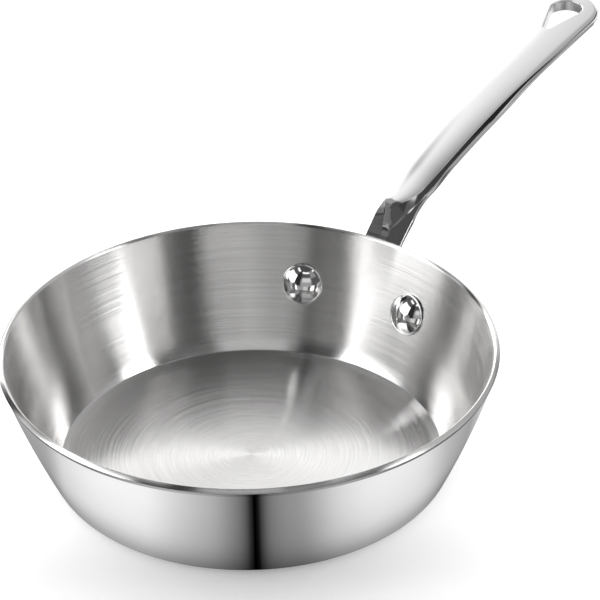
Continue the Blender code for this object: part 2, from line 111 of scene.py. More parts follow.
def objectFrom(name, builder):
    mesh = bpy.data.meshes.new(name)
    builder.to_mesh(mesh)
    builder.free()
    return newObject(name, mesh)


def bridge(builder, near, far, closed=False):
    # strip of faces between two rows of points
    return [builder.faces.new((near[k - 1], near[k], far[k], far[k - 1]))
            for k in range(0 if closed else 1, len(near))]


def clean(builder, gap, sliver):
    # joins points closer than the gap, drops slivers and turns the faces outwards
    bmesh.ops.remove_doubles(builder, verts=builder.verts, dist=gap)
    bmesh.ops.dissolve_degenerate(builder, edges=builder.edges, dist=sliver)
    bmesh.ops.recalc_face_normals(builder, faces=builder.faces)


def settle(thing):
    # turns a piece with modifiers into a plain smooth mesh
    bpy.context.view_layer.update()
    graph = bpy.context.evaluated_depsgraph_get()
    mesh = bpy.data.meshes.new_from_object(thing.evaluated_get(graph))
    thing.modifiers.clear()
    thing.data = mesh
    builder = bmesh.new()
    builder.from_mesh(mesh)
    clean(builder, meshing["gap"], meshing["sliver"])
    builder.to_mesh(mesh)
    builder.free()
    mesh.shade_smooth()
    mesh.set_sharp_from_angle(angle=radians(meshing["sharpAngle"]))
    return thing


# nodes


def feed(tree, node, inputs):
    # constants are set on the node's sockets and other nodes' outputs are linked to them
    for key, value in inputs.items():
        if isinstance(value, bpy.types.NodeSocket):
            tree.links.new(value, node.inputs[key])
        else:
            node.inputs[key].default_value = value


def addNode(tree, kind, inputs=None, **settings):
    # a new node's outputs
    node = tree.nodes.new(kind)
    for key, value in settings.items():
        setattr(node, key, value)
    feed(tree, node, inputs or {})
    return node.outputs


def mathNode(tree, operation, *values):
    return addNode(tree, "ShaderNodeMath", dict(enumerate(values)), operation=operation)[0]


def vectorNode(tree, operation, *values):
    found = addNode(tree, "ShaderNodeVectorMath", dict(enumerate(values)), operation=operation)
    return found["Value" if operation == "DOT_PRODUCT" else "Vector"]


def rangeNode(tree, value, fromMin, fromMax, toMin, toMax, **settings):
    inputs = {"Value": value, "From Min": fromMin, "From Max": fromMax, "To Min": toMin, "To Max": toMax}
    return addNode(tree, "ShaderNodeMapRange", inputs, **settings)[0]


def noiseNode(tree, place, scale, detail):
    return addNode(tree, "ShaderNodeTexNoise", {"Vector": place, "Scale": scale, "Detail": detail})["Fac"]


def bumpNode(tree, height, strength, distance):
    return addNode(tree, "ShaderNodeBump", {"Height": height, "Strength": strength, "Distance": distance})[0]


def newTree(name, inputs, output):
    # Geometry Nodes tree with named inputs and one shape as its output
    tree = bpy.data.node_groups.new(name, "GeometryNodeTree")
    for label, kind in inputs.items():
        tree.interface.new_socket(name=label, in_out="INPUT", socket_type="NodeSocket" + kind)
    tree.interface.new_socket(name=output, in_out="OUTPUT", socket_type="NodeSocketGeometry")
    return tree, addNode(tree, "NodeGroupInput")


def endTree(tree, shape, finish):
    real = addNode(tree, "GeometryNodeRealizeInstances", {0: shape})
    covered = addNode(tree, "GeometryNodeSetMaterial", {"Geometry": real[0], "Material": finish})
    addNode(tree, "NodeGroupOutput", {0: covered[0]})
    return tree


def applyTree(thing, tree, values):
    # the tree as a modifier, with its inputs set by their identifiers
    modifier = thing.modifiers.new(tree.name, "NODES")
    modifier.node_group = tree
    for item in tree.interface.items_tree:
        if item.in_out == "INPUT" and item.name in values:
            modifier[item.identifier] = values[item.name]


# materials

brushing = {
    "grey": 0.8, "greySpread": 0.09, "tint": (1.0, 0.992, 0.985), "roughness": 0.19, "roughSpread": 0.02,
    "anisotropy": 1.0, "contrast": (0.3, 0.7), "fineShare": 0.6,
    # the hair lines: pitches across them, length at a distance from the axis, and how much closer they
    # stand up the wall
    "finePitch": 0.0003, "coarsePitch": 0.0009, "lineLength": 0.05, "lengthAt": 0.1, "climb": 1.6,
    "lineDetail": 2.0, "lineBump": 0.03, "lineDepth": 0.0001, "lineTurn": 0.024,
}


def newMaterial(name):
    material = bpy.data.materials.new(name)
    material.use_nodes = True
    return material, material.node_tree


def brushedSteel():
    # satin finish whose hair lines run round the bowl's axis
    material, tree = newMaterial("brushedSteel")
    place = addNode(tree, "ShaderNodeTexCoord")["Object"]
    x, y, z = addNode(tree, "ShaderNodeSeparateXYZ", {0: place})
    radius = mathNode(tree, "SQRT", mathNode(tree, "ADD", mathNode(tree, "MULTIPLY", x, x),
                                             mathNode(tree, "MULTIPLY", y, y)))
    radius = mathNode(tree, "MAXIMUM", radius, tiny)
    outward = mathNode(tree, "ADD", radius, mathNode(tree, "MULTIPLY", z, brushing["climb"]))

    def lines(pitch, length):
        # noise that is short across the lines and long along them
        turns = brushing["lengthAt"] / length
        spot = {k: mathNode(tree, "MULTIPLY", mathNode(tree, "DIVIDE", way, radius), turns)
                for k, way in enumerate((x, y))}
        spot[2] = mathNode(tree, "DIVIDE", outward, pitch)
        joined = addNode(tree, "ShaderNodeCombineXYZ", spot)[0]
        return noiseNode(tree, joined, 1.0, brushing["lineDetail"])

    fine = lines(brushing["finePitch"], brushing["lineLength"])
    coarse = lines(brushing["coarsePitch"], brushing["lineLength"] * 2)
    both = mathNode(tree, "ADD", mathNode(tree, "MULTIPLY", fine, brushing["fineShare"]),
                    mathNode(tree, "MULTIPLY", coarse, 1 - brushing["fineShare"]))
    grey, spread = brushing["grey"], brushing["greySpread"]
    tone = rangeNode(tree, both, *brushing["contrast"], grey - spread, grey + spread)
    colour = addNode(tree, "ShaderNodeCombineColor", {k: mathNode(tree, "MULTIPLY", tone, share)
                                                      for k, share in enumerate(brushing["tint"])})
    rough, spread = brushing["roughness"], brushing["roughSpread"]
    bump = bumpNode(tree, fine, brushing["lineBump"], brushing["lineDepth"])
    # the highlight spreads across the hair lines, and each line turns it a little to one side
    around = vectorNode(tree, "CROSS_PRODUCT", (0, 0, 1), place)
    lean = mathNode(tree, "MULTIPLY", mathNode(tree, "SUBTRACT", coarse, 0.5), brushing["lineTurn"])
    shift = addNode(tree, "ShaderNodeVectorMath", {0: vectorNode(tree, "NORMALIZE", around), "Scale": lean},
                    operation="SCALE")
    leaned = vectorNode(tree, "ADD", bump, shift[0])
    facing = addNode(tree, "ShaderNodeNewGeometry")["Normal"]
    feed(tree, tree.nodes["Principled BSDF"], {
        "Metallic": 1.0, "Anisotropic": brushing["anisotropy"], "Base Color": colour[0],
        "Roughness": rangeNode(tree, coarse, *brushing["contrast"], rough - spread, rough + spread),
        "Normal": vectorNode(tree, "NORMALIZE", leaned),
        "Tangent": vectorNode(tree, "NORMALIZE", vectorNode(tree, "CROSS_PRODUCT", around, facing))})
    return material


polish = {
    "grey": 0.84, "waviness": 0.00001, "hazeScale": 60.0, "hazeDetail": 3.0, "waveScale": 25.0,
    "greySpread": 0.015, "roughSpread": 0.2,
    # the painted shade line under the lip: its depth, how bright the colour stays in front and at the sides,
    # and how far aside it changes
    "paintedShadeDepth": 0.0003, "paintedShadeFront": 0.75, "paintedShadeSides": 0.12, "paintedShadeAside": (0.02, 0.06),
}


def polishedSteel(name, roughness, grey=polish["grey"], waviness=polish["waviness"], dullFrom=None):
    # mirror finish with the faint haze and unevenness that polishing leaves; from a given height up its colour
    # is darkened, a painted shadow under the lip's turned edge, lighter in front and behind than at the
    # camera's sides
    material, tree = newMaterial(name)
    place = addNode(tree, "ShaderNodeTexCoord")["Object"]
    haze = noiseNode(tree, place, polish["hazeScale"], polish["hazeDetail"])
    tone = rangeNode(tree, haze, 0.0, 1.0, grey - polish["greySpread"], grey + polish["greySpread"])
    # painted shade: above the given height the colour darkens, less in front and behind than at the camera's
    # sides
    if dullFrom is not None:
        height = addNode(tree, "ShaderNodeSeparateXYZ", {0: place})[2]
        aside = mathNode(tree, "ABSOLUTE", vectorNode(tree, "DOT_PRODUCT", place, wayAt(0)))
        bright = rangeNode(tree, aside, *polish["paintedShadeAside"], polish["paintedShadeFront"], polish["paintedShadeSides"])
        paintedShade = rangeNode(tree, height, dullFrom, dullFrom + polish["paintedShadeDepth"], 1.0, bright)
        tone = mathNode(tree, "MULTIPLY", tone, paintedShade)
    colour = addNode(tree, "ShaderNodeCombineColor", dict.fromkeys(range(3), tone))
    wave = noiseNode(tree, place, polish["waveScale"], 0.0)
    feed(tree, tree.nodes["Principled BSDF"], {
        "Metallic": 1.0, "Base Color": colour[0], "Normal": bumpNode(tree, wave, 1.0, waviness),
        "Roughness": rangeNode(tree, haze, 0.0, 1.0, roughness * (1 - polish["roughSpread"]),
                               roughness * (1 + polish["roughSpread"]))})
    return material


satin = brushedSteel()
# its colour is darkened from just under the lip up, as painted shade
bowlPolish = polishedSteel("bowlPolish", roughness=0.055, dullFrom=0.0514)
handlePolish = polishedSteel("handlePolish", roughness=0.06, waviness=0.00002)
holeFinish = polishedSteel("holeFinish", roughness=0.34)
rivetPolish = polishedSteel("rivetPolish", roughness=0.04)
coreMetal = polishedSteel("coreMetal", roughness=0.3, grey=0.8)
print("materials made")

# bowl

bowl = {
    "rimRadius": 0.102, "rimHeight": 0.0533, "footRadius": 0.009, "wallAngle": 68.85, "wallBarrel": 7.2,
    "lipAngle": 48.0, "lipBend": 0.0006, "lipLand": 0.0007, "lipCap": 0.0005, "lipRound": 0.00025,
    "steelPly": 0.0004, "corePly": 0.0009, "bondGap": 0.0003,
    # inside, the floor turns up gently and meets the wall in a small crease
    "creaseRise": 0.0008, "creaseIn": 0.0006, "creaseRound": 0.0006,
    "rampSlope": 9.0, "rampBend": 0.0012, "floorEdge": 0.0735,
    # mesh
    "floorSteps": 12, "rampSteps": 8, "creaseSteps": 6, "footSteps": 14, "wallSteps": 16, "lipSteps": 6,
    "roundSteps": 5, "segments": 288,
}
clad = 2 * bowl["steelPly"] + bowl["corePly"] + 2 * bowl["bondGap"]
lipAngle = radians(bowl["lipAngle"])
footAngle = radians(bowl["wallAngle"] - bowl["wallBarrel"] / 2)
headAngle = radians(bowl["wallAngle"] + bowl["wallBarrel"] / 2)


def bowlArcs():
    # centre and radius of the wall's arc, where the base ends, and where the lip's land starts
    bend, land, corner = bowl["lipBend"], bowl["lipLand"], bowl["lipRound"]
    lipCos, lipSin = cos(lipAngle), sin(lipAngle)
    lipRise = bend * (lipCos - cos(headAngle)) + land * lipSin - corner * (lipSin - lipCos)
    lipRun = bend * (sin(headAngle) - lipSin) + land * lipCos - corner * (lipCos + lipSin - 1)
    footRise = bowl["footRadius"] * (1 - cos(footAngle))
    footRun = bowl["footRadius"] * sin(footAngle)
    wallRise = bowl["rimHeight"] - footRise - lipRise
    wallRadius = wallRise / (cos(footAngle) - cos(headAngle))
    wallRun = wallRadius * (sin(headAngle) - sin(footAngle))
    base = bowl["rimRadius"] - lipRun - wallRun - footRun
    footEnd = Vector((base + footRun, footRise))
    wallEnd = footEnd + Vector((wallRun, wallRise))
    return {"base": base, "wallRadius": wallRadius, "wallCentre": footEnd + wallRadius * leftOf(footAngle),
            "lipStart": wallEnd - bend * leftOf(headAngle) + bend * leftOf(lipAngle)}


arcs = bowlArcs()


def onWall(angle, depth):
    return arcs["wallCentre"] - (arcs["wallRadius"] - depth) * leftOf(angle)


def onLand(cut, depth):
    return arcs["lipStart"] + (bowl["lipLand"] - cut) * headingAt(lipAngle) + depth * leftOf(lipAngle)


def wallAngleAt(height, depth=0.0):
    return acos((arcs["wallCentre"].y - height) / (arcs["wallRadius"] - depth))


def footOutside(depth):
    # plain round foot of the outer plies
    centre = Vector((arcs["base"], bowl["footRadius"]))
    return [centre - (bowl["footRadius"] - depth) * leftOf(footAngle * share)
            for share in shares(bowl["footSteps"])[1:-1]]


def footInside(below):
    # floor's turn-up and the crease at the wall's foot, at a depth below the inside surface
    slope, small, bend = radians(bowl["rampSlope"]), bowl["creaseRound"], bowl["rampBend"]
    wallFoot = onWall(footAngle, clad)
    drop = wallFoot.y - clad - bowl["creaseRise"]
    touch = wallFoot - Vector((drop / tan(footAngle) + bowl["creaseIn"], drop))
    lowAngle = atan2(wallFoot.y - touch.y, wallFoot.x - touch.x)
    centre = touch + small * leftOf(lowAngle)
    start = centre - small * leftOf(slope)
    # the ramp runs back from the crease to where it leaves the floor
    bendStart = start.x - (start.y - clad) / tan(slope) - bend / 2
    points = []
    for share in shares(bowl["rampSteps"]):
        level = clad + tan(slope) * bend * share ** 2 / 2
        lean = atan(tan(slope) * share)
        points.append(Vector((bendStart + bend * share, level)) - below * leftOf(lean))
    for share in shares(bowl["creaseSteps"]):
        points.append(centre - (small + below) * leftOf(mix(slope, lowAngle, share)))
    return points


def plySurface(depth, cut):
    # (radius, height) points from the axis to the lip, depth below the outside
    bend = bowl["lipBend"]
    points = [Vector((bowl["floorEdge"] * share, depth)) for share in shares(bowl["floorSteps"])]
    points += footInside(clad - depth) if depth > clad / 2 else footOutside(depth)
    points += [onWall(mix(footAngle, headAngle, share), depth) for share in shares(bowl["wallSteps"])]
    # the lip's bend is as tight inside as outside
    corner = onWall(headAngle, 0.0) + bend * tan((headAngle - lipAngle) / 2) * headingAt(headAngle)
    inward = (leftOf(headAngle) + leftOf(lipAngle)) / (1 + leftOf(headAngle).dot(leftOf(lipAngle)))
    centre = corner + depth * inward - bend * inward
    points += [centre + bend * leftOf(mix(headAngle, lipAngle, share)) for share in shares(bowl["lipSteps"])]
    return points + [onLand(cut, depth)]


def innerPlySection():
    # the inner ply's edge is turned out over the other plies, with two rounded corners
    small = bowl["lipRound"]
    points = plySurface(clad, small)
    for depth, start in ((clad - small, lipAngle + pi / 2), (small, lipAngle)):
        for share in shares(bowl["roundSteps"]):
            points.append(onLand(small, depth) + small * headingAt(start - pi / 2 * share))
    points.append(onLand(bowl["lipCap"], 0.0))
    return points + plySurface(clad - bowl["steelPly"], bowl["lipCap"])[::-1]


def plySection(shallow, deep):
    cut = bowl["lipCap"] + bowl["bondGap"]
    return plySurface(shallow, cut) + plySurface(deep, cut)[::-1]


lathing = {"hub": 0.001, "gap": 1e-6}    # circle that a section is swept along, and what joins on the axis


def latheTree():
    # sweeps a section line round a small circle about the Z axis, so that it is turned round the axis
    tree, given = newTree("latheRoundAxis", {"Section": "Geometry", "Segments": "Int", "Finish": "Material"},
                          "Body")
    line = addNode(tree, "GeometryNodeMeshToCurve", {0: given["Section"]})
    place = addNode(tree, "GeometryNodeInputPosition")[0]
    split = addNode(tree, "ShaderNodeSeparateXYZ", {0: place})
    join = addNode(tree, "ShaderNodeCombineXYZ", {0: mathNode(tree, "SUBTRACT", split[0], lathing["hub"]),
                                                  1: mathNode(tree, "MULTIPLY", split[2], -1.0)})
    flat = addNode(tree, "GeometryNodeSetPosition", {"Geometry": line[0], "Position": join[0]})
    circle = addNode(tree, "GeometryNodeCurvePrimitiveCircle", {"Resolution": given["Segments"],
                                                                "Radius": lathing["hub"]})
    sweep = addNode(tree, "GeometryNodeCurveToMesh", {"Curve": circle[0], "Profile Curve": flat[0]})
    closed = addNode(tree, "GeometryNodeMergeByDistance", {0: sweep[0], "Distance": lathing["gap"]})
    return endTree(tree, closed[0], given["Finish"])


lathe = latheTree()


def turned(name, points, finish, segments):
    # the half section is a line in the XZ plane
    builder = bmesh.new()
    corners = [builder.verts.new((max(x, 0.0), 0.0, z)) for x, z in points]
    for near, far in zip(corners, corners[1:]):
        builder.edges.new((near, far))
    thing = objectFrom(name, builder)
    applyTree(thing, lathe, {"Segments": segments, "Finish": finish})
    return thing


coreShallow = bowl["steelPly"] + bowl["bondGap"]
bowlInside = settle(turned("bowlInside", innerPlySection(), satin, bowl["segments"]))
bowlCore = settle(turned("bowlCore", plySection(coreShallow, coreShallow + bowl["corePly"]), coreMetal,
                         bowl["segments"]))
bowlOutside = settle(turned("bowlOutside", plySection(0.0, bowl["steelPly"]), bowlPolish, bowl["segments"]))
for piece, node, finish in ((bowlInside, "inner_ply", "satin_steel"),
                            (bowlCore, "core_ply", "aluminium_core"),
                            (bowlOutside, "outer_ply", "mirror_steel")):
    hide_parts(node)
    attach(piece, "root")
print("bowl made", [len(piece.data.polygons) for piece in (bowlInside, bowlCore, bowlOutside)])

# rivets

rivet = {
    "height": 0.0302, "halfAngle": 16.4, "shank": 0.0035, "seat": 0.0003,
    # the head's low dome stands in a thin round collar, with a groove between them
    "head": 0.0088, "dome": 0.0032, "brim": 0.0005, "collar": 0.0007, "collarRise": 0.45, "groove": 0.0002,
    "tail": 0.006, "tailDome": 0.002,
    # mesh
    "domeSteps": 18, "collarSteps": 8, "tailSteps": 10, "segments": 96,
}
flange = {
    "seat": 0.0003, "thickness": 0.0032, "ear": 0.012, "rise": 0.002, "chamfer": 0.0008,
    "chamferSteps": 4, "columns": 96, "rows": 16,
}


def domeLine(radius, rise, base, steps):
    # from the rim of a dome to its top
    ball = (radius * radius + rise * rise) / (2 * rise)
    widest = asin(radius / ball)
    angles = [widest * (1 - share) for share in shares(steps)]
    return [(ball * sin(angle), base + ball * cos(angle) - (ball - rise)) for angle in angles]


def rivetSection():
    # Z runs out through the wall, so the head's heights are below zero
    wallRadius = onWall(wallAngleAt(rivet["height"], clad), clad).x
    seat = -rivet["seat"]
    brim = seat - rivet["head"] ** 2 / (2 * wallRadius)
    edge = rivet["brim"] - brim
    dome = domeLine(rivet["head"] - rivet["collar"], rivet["dome"] - rivet["groove"], edge + rivet["groove"],
                    rivet["domeSteps"])
    head = [(radius, -height) for radius, height in dome[::-1]]
    ring = rivet["collar"] / 2
    for share in shares(rivet["collarSteps"])[1:]:
        angle = pi * (1 - share)
        head.append((rivet["head"] - ring + ring * cos(angle),
                     -(edge + rivet["collarRise"] * ring * sin(angle))))
    tailBase = clad + flange["seat"] + flange["thickness"] + rivet["seat"]
    shank = [(rivet["head"], brim), (rivet["shank"], seat), (rivet["shank"], tailBase)]
    return head + shank + domeLine(rivet["tail"], rivet["tailDome"], tailBase, rivet["tailSteps"])


def rivetTree():
    # rivets side by side on the wall, each turned from the same section
    tree, given = newTree("rivetsOnWall", {
        "Rivet": "Geometry", "Count": "Int", "Half Angle": "Float", "Wall Radius": "Float", "Height": "Float",
        "Lean": "Float", "Finish": "Material"}, "Rivets")
    spots = addNode(tree, "GeometryNodePoints", {"Count": given["Count"]})
    index = addNode(tree, "GeometryNodeInputIndex")[0]
    side = mathNode(tree, "MULTIPLY_ADD", index, 2.0, -1.0)    # -1 and 1
    around = mathNode(tree, "MULTIPLY", side, given["Half Angle"])
    spot = {k: mathNode(tree, "MULTIPLY", mathNode(tree, operation, around), given["Wall Radius"])
            for k, operation in enumerate(("COSINE", "SINE"))}
    spot[2] = given["Height"]
    placed = addNode(tree, "GeometryNodeSetPosition", {
        "Geometry": spots[0], "Position": addNode(tree, "ShaderNodeCombineXYZ", spot)[0]})
    turn = addNode(tree, "ShaderNodeCombineXYZ", {1: given["Lean"], 2: around})
    copies = addNode(tree, "GeometryNodeInstanceOnPoints", {
        "Points": placed[0], "Instance": given["Rivet"], "Rotation": turn[0]})
    return endTree(tree, copies[0], given["Finish"])


rivetAngle = wallAngleAt(rivet["height"], clad)
rivetSeat = onWall(rivetAngle, clad)
rivets = turned("rivets", rivetSection(), rivetPolish, rivet["segments"])
applyTree(rivets, rivetTree(), {
    "Count": 2, "Half Angle": radians(rivet["halfAngle"]), "Wall Radius": rivetSeat.x,
    "Height": rivetSeat.y, "Lean": pi - rivetAngle, "Finish": rivetPolish})
settle(rivets)
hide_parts("rivet_left", "rivet_right")
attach(rivets, "root")
print("rivets made", len(rivets.data.polygons))

# handle

handle = {
    # neck, as (distance beyond the lip's edge, height over it or half width)
    "neckTop": ((0.001, -0.0113), (0.006, -0.0083), (0.0112, -0.0053), (0.0159, -0.0023),
                (0.0213, 0.0009), (0.028, 0.0035), (0.035, 0.0051)),
    "neckUnder": ((0.001, -0.0201), (0.006, -0.015), (0.0112, -0.0109), (0.019, -0.006),
                  (0.025, -0.0028), (0.031, -0.0001), (0.04, 0.0031)),
    "neckHalfWidths": ((0.001, 0.0105), (0.006, 0.0092), (0.0112, 0.0088), (0.0213, 0.009)),
    "rootHeight": 0.0134, "rootRaise": 0.0011, "rootHalfWidth": 0.0145, "neckUnderRound": 0.0032,
    # nose, where the raised top face starts narrow and widens
    "noseFoot": 0.0113, "noseSlope": 2.75, "roofStart": 0.0162, "roofSettled": 0.0205,
    "roofDrop": 0.0022, "roofLevel": 0.0009, "roofSlope": 0.42, "roofEndSlope": 0.055, "roofJoinShare": 0.6,
    "noseHalfWidth": 0.0013, "noseLength": 0.0198, "noseFullness": 2.1, "noseFlare": 0.0009,
    "noseLean": 0.1, "joinBefore": 0.01, "joinAfter": 0.012,
    # grip
    "reach": 0.2022, "start": 0.035, "settled": 0.056, "startRise": 0.0088, "startSlope": 0.185,
    "tipRise": 0.0256, "tipSlope": 0.015,
    "halfWidths": ((0.17, 0.0077), (0.38, 0.0092), (0.59, 0.0113), (0.79, 0.0141), (0.9, 0.015)),
    "edge": 0.006, "wall": 0.0038, "crown": 0.0011, "crownRun": 0.004, "ledge": 0.0009, "sideOut": 0.0002,
    "edgeRound": 0.0003, "noseRound": 0.00002, "underRound": 0.0016, "leastFoot": 0.0001,
    "ledgeFade": (0.45, 0.7), "ledgeDrop": 0.0003, "ledgeSlope": 0.08, "ledgeRound": 0.0004,
    "leastLedgeRound": 0.00002, "ledgeStart": 0.08,
    # how far each rounding may take up the width or height that it stands in
    "edgeShare": 0.9, "underWideShare": 0.4, "underShare": 0.8, "ledgeShare": 0.8, "footShare": 0.6,
    # the side wall's foot flares out along the grip, over a growing share of its height
    "flareShares": (0.02, 0.8), "flareLead": 0.93, "flareFrom": 0.075, "flareTo": 0.13, "flareOut": 0.0003,
    # tip
    "tipBlend": (0.5, 0.82), "tipRound": 0.0185, "tipEdge": 0.0047, "tipWall": 0.0024,
    "tipEdgeRound": 0.002, "tipUnderRound": 0.0022,
    "holeWide": 0.0073, "holeNarrow": 0.0016, "holePitch": 0.02, "holeToTip": 0.016, "holeRound": 0.0005,
    # mesh; holeTurn is how far round the tip the hole's sections go
    "neckSteps": 16, "noseSteps": 16, "shoulderSteps": 48, "gripSteps": 60, "marginSteps": 6, "endSteps": 12,
    "straightSteps": 36, "turnSteps": 24, "holeTurn": 47, "holeMargin": 0.004,
    "acrossSteps": 12, "arcSteps": 6, "sideSteps": 6, "ledgeSteps": 4, "underSteps": 8,
    "gap": 1e-6, "sliver": 1e-7,
}
# what the loft needs to know about the root
rootAngle = wallAngleAt(onWall(rivetAngle, 0.0).y + handle["rootRaise"])
rootPoint = onWall(rootAngle, -(flange["seat"] + flange["thickness"] / 2))
rootX, rootLevel = rootPoint.x - bowl["rimRadius"], rootPoint.y - bowl["rimHeight"]
rootHalf = handle["rootHeight"] / 2
neckTop = ((rootX, rootLevel + rootHalf),) + handle["neckTop"]
neckUnder = ((rootX, rootLevel - rootHalf),) + handle["neckUnder"]
neckWidths = ((rootX, handle["rootHalfWidth"]),) + handle["neckHalfWidths"]
# where the nose's face meets its roof
footLevel = curveThrough(neckTop, handle["noseFoot"])
roofFoot = handle["startRise"] - handle["roofDrop"] - handle["roofStart"] * handle["roofSlope"]
faceFoot = footLevel - handle["noseFoot"] * handle["noseSlope"]
noseEdge = (roofFoot - faceFoot) / (handle["noseSlope"] - handle["roofSlope"])
# where the rounded tip and both ends of the hole have their centres
tipStart = handle["reach"] - handle["tipRound"]
wideX = handle["reach"] - handle["holeToTip"]
narrowX = wideX - handle["holePitch"]


def alongGrip(key, x):
    # ease between two shares of the handle's reach
    return ease(*(share * handle["reach"] for share in handle[key]), x)


def edgeLevel(x):
    return bendBetween((handle["start"], handle["startRise"], handle["startSlope"]),
                       (handle["reach"], handle["tipRise"], handle["tipSlope"]), x)


def noseLevel(x):
    # steep face of the nose, a small bend, then the roof that runs into the grip
    face = footLevel + handle["noseSlope"] * (x - handle["noseFoot"])
    middle = (handle["roofSettled"], handle["startRise"] - handle["roofLevel"], handle["roofEndSlope"])
    if x < handle["roofSettled"]:
        start = (handle["roofStart"], handle["startRise"] - handle["roofDrop"], handle["roofSlope"])
        roof = bendBetween(start, middle, max(x, start[0])) + min(0.0, x - start[0]) * handle["roofSlope"]
    else:
        end = (handle["start"], handle["startRise"], handle["startSlope"] * handle["roofJoinShare"])
        roof = bendBetween(middle, end, x)
    return min(face, roof)


def bladeHalfWidth(x):
    # half width of the top face, without the rounded end
    if x < handle["start"]:
        t = min((handle["start"] - x) / handle["noseLength"], 1.0)
        wide = handle["halfWidths"][0][1] - handle["noseHalfWidth"]
        return handle["noseHalfWidth"] + wide * (1 - t ** handle["noseFullness"])
    return curveThrough([(share * handle["reach"], half) for share, half in handle["halfWidths"]], x)


def edgeOrNose(x, ledge):
    # height of the top face's edge, from the neck over the nose into the grip
    low, high = handle["start"] - handle["joinBefore"], handle["start"] + handle["joinAfter"]
    if x <= handle["noseFoot"]:
        return ledge
    if x < low:
        return max(noseLevel(x), ledge)
    if x >= high:
        return edgeLevel(x)
    lowTop, highTop = noseLevel(low), edgeLevel(high)
    return bendBetween((low, lowTop, (lowTop - noseLevel(low - tiny)) / tiny),
                       (high, highTop, (edgeLevel(high + tiny) - highTop) / tiny), x)


def gripSizes(x):
    # the section's sizes at a distance beyond the lip's edge
    settled = ease(handle["start"], handle["settled"], x)
    tip = alongGrip("tipBlend", x)
    half, edge = bladeHalfWidth(x), edgeLevel(x)
    wallTo, edgeTo = mix(handle["wall"], handle["tipWall"], tip), mix(handle["edge"], handle["tipEdge"], tip)
    ledge = mix(curveThrough(neckTop, x), edge - wallTo, settled)
    under = mix(curveThrough(neckUnder, x), edge - edgeTo, settled)
    top = edgeOrNose(x, ledge)
    risen = ease(handle["noseFoot"], handle["noseFoot"] + handle["crownRun"], x)
    faded = alongGrip("ledgeFade", x)
    flare = ease(handle["flareFrom"], handle["flareTo"], x)
    nearNose = 1 - ease(handle["noseFoot"], handle["start"], x)
    noseOut = min(handle["noseFlare"], handle["noseLean"] * (top - ledge)) * nearNose
    gripWide = half + handle["sideOut"] + handle["ledge"] * (1 - faded) + handle["flareOut"] * flare
    wide = mix(curveThrough(neckWidths, x), gripWide, ease(neckWidths[-1][0], handle["start"], x))
    edgeRound, underRound = (mix(mix(handle[neck], handle[middle], settled), handle[end], tip)
                             for neck, middle, end in (("noseRound", "edgeRound", "tipEdgeRound"),
                                                       ("neckUnderRound", "underRound", "tipUnderRound")))
    return {
        "half": half, "top": top, "ledge": ledge, "under": under, "wide": wide, "flare": flare,
        "foot": handle["leastFoot"] + noseOut + handle["flareOut"] * flare,
        "crown": handle["crown"] * min(1.0, half / handle["halfWidths"][0][1]) * risen,
        "edgeRound": max(tiny, min(edgeRound, half / 2, (top - ledge) * handle["edgeShare"])),
        "underRound": min(underRound, handle["underWideShare"] * wide,
                          handle["underShare"] * (ledge - under)),
        "ledgeRound": handle["ledgeRound"] * (1 - faded) + handle["leastLedgeRound"],
    }


def topLevel(spot):
    # height of the crowned top face over the lip's edge
    sizes = gripSizes(spot.x)
    beyond = max(0.0, (spot.x - tipStart) / handle["tipRound"])
    away = (spot.y / sizes["half"]) ** 2 + beyond ** 2
    return sizes["top"] + sizes["crown"] * (1 - away)


def outlineAt(x, turn):
    # point on the top face's outline and the way out of it; turn is how far round the tip it is
    if turn == 0:
        return Vector((x, bladeHalfWidth(x))), Vector((0.0, 1.0))
    half = handle["halfWidths"][-1][1]
    edge = Vector((tipStart + handle["tipRound"] * sin(turn), half * cos(turn)))
    return edge, Vector((sin(turn) / handle["tipRound"], cos(turn) / half)).normalized()


def holePoint(share):
    # point on the half outline of the hanging hole, from its narrow end to its wide end, and the way in
    narrow, wide, pitch = handle["holeNarrow"], handle["holeWide"], handle["holePitch"]
    touch = acos((wide - narrow) / pitch)
    arcNarrow, arcWide = narrow * touch, wide * (pi - touch)
    straight = sqrt(pitch ** 2 - (wide - narrow) ** 2)
    run = share * (arcNarrow + straight + arcWide)
    if run <= arcNarrow:
        x, radius, angle = narrowX, narrow, pi - run / narrow
    elif run <= arcNarrow + straight:
        t = (run - arcNarrow) / straight
        x, radius, angle = mix(narrowX, wideX, t), mix(narrow, wide, t), pi - touch
    else:
        x, radius, angle = wideX, wide, pi - touch - (run - arcNarrow - straight) / wide
    out = headingAt(max(angle, 0.0))
    return Vector((x, 0.0)) + radius * out, -out


def stations():
    # (x and turn on the outline, where the middle line starts, share of the hole's outline or None)
    narrowEnd, wideEnd = narrowX - handle["holeNarrow"], wideX + handle["holeWide"]
    small, gripEnd = handle["holeRound"], narrowEnd - handle["holeMargin"]
    marks = (rootX, handle["noseFoot"], noseEdge, handle["start"], gripEnd)
    counts = [handle[key] for key in ("neckSteps", "noseSteps", "shoulderSteps", "gripSteps")]
    found = []
    for begin, end, count in zip(marks, marks[1:], counts):
        found += [(x, 0, x, None) for x in (mix(begin, end, share) for share in shares(count)[:-1])]
    found += [(mix(gripEnd, narrowEnd, share), 0, mix(gripEnd, narrowEnd - small, share), None)
              for share in shares(handle["marginSteps"])[:-1]]
    holeTurn = radians(handle["holeTurn"])
    spots = [(mix(narrowEnd, tipStart, share), 0) for share in shares(handle["straightSteps"])]
    spots += [(None, holeTurn * share) for share in shares(handle["turnSteps"])[1:]]
    found += [(x, turn, None, share) for (x, turn), share in zip(spots, shares(len(spots) - 1))]
    last = handle["reach"] - handle["tipEdgeRound"]
    return found + [(None, mix(holeTurn, pi / 2, share), mix(wideEnd + small, last, share), None)
                    for share in shares(handle["endSteps"])[1:]]


def arcPoints(centre, level, out, radius, turns, steps):
    # upright arc in the direction out; a turn of 0 is up
    points = []
    for share in shares(steps):
        turn = mix(*turns, share)
        spot = centre + out * radius * sin(turn)
        points.append((*spot, level + radius * cos(turn)))
    return points


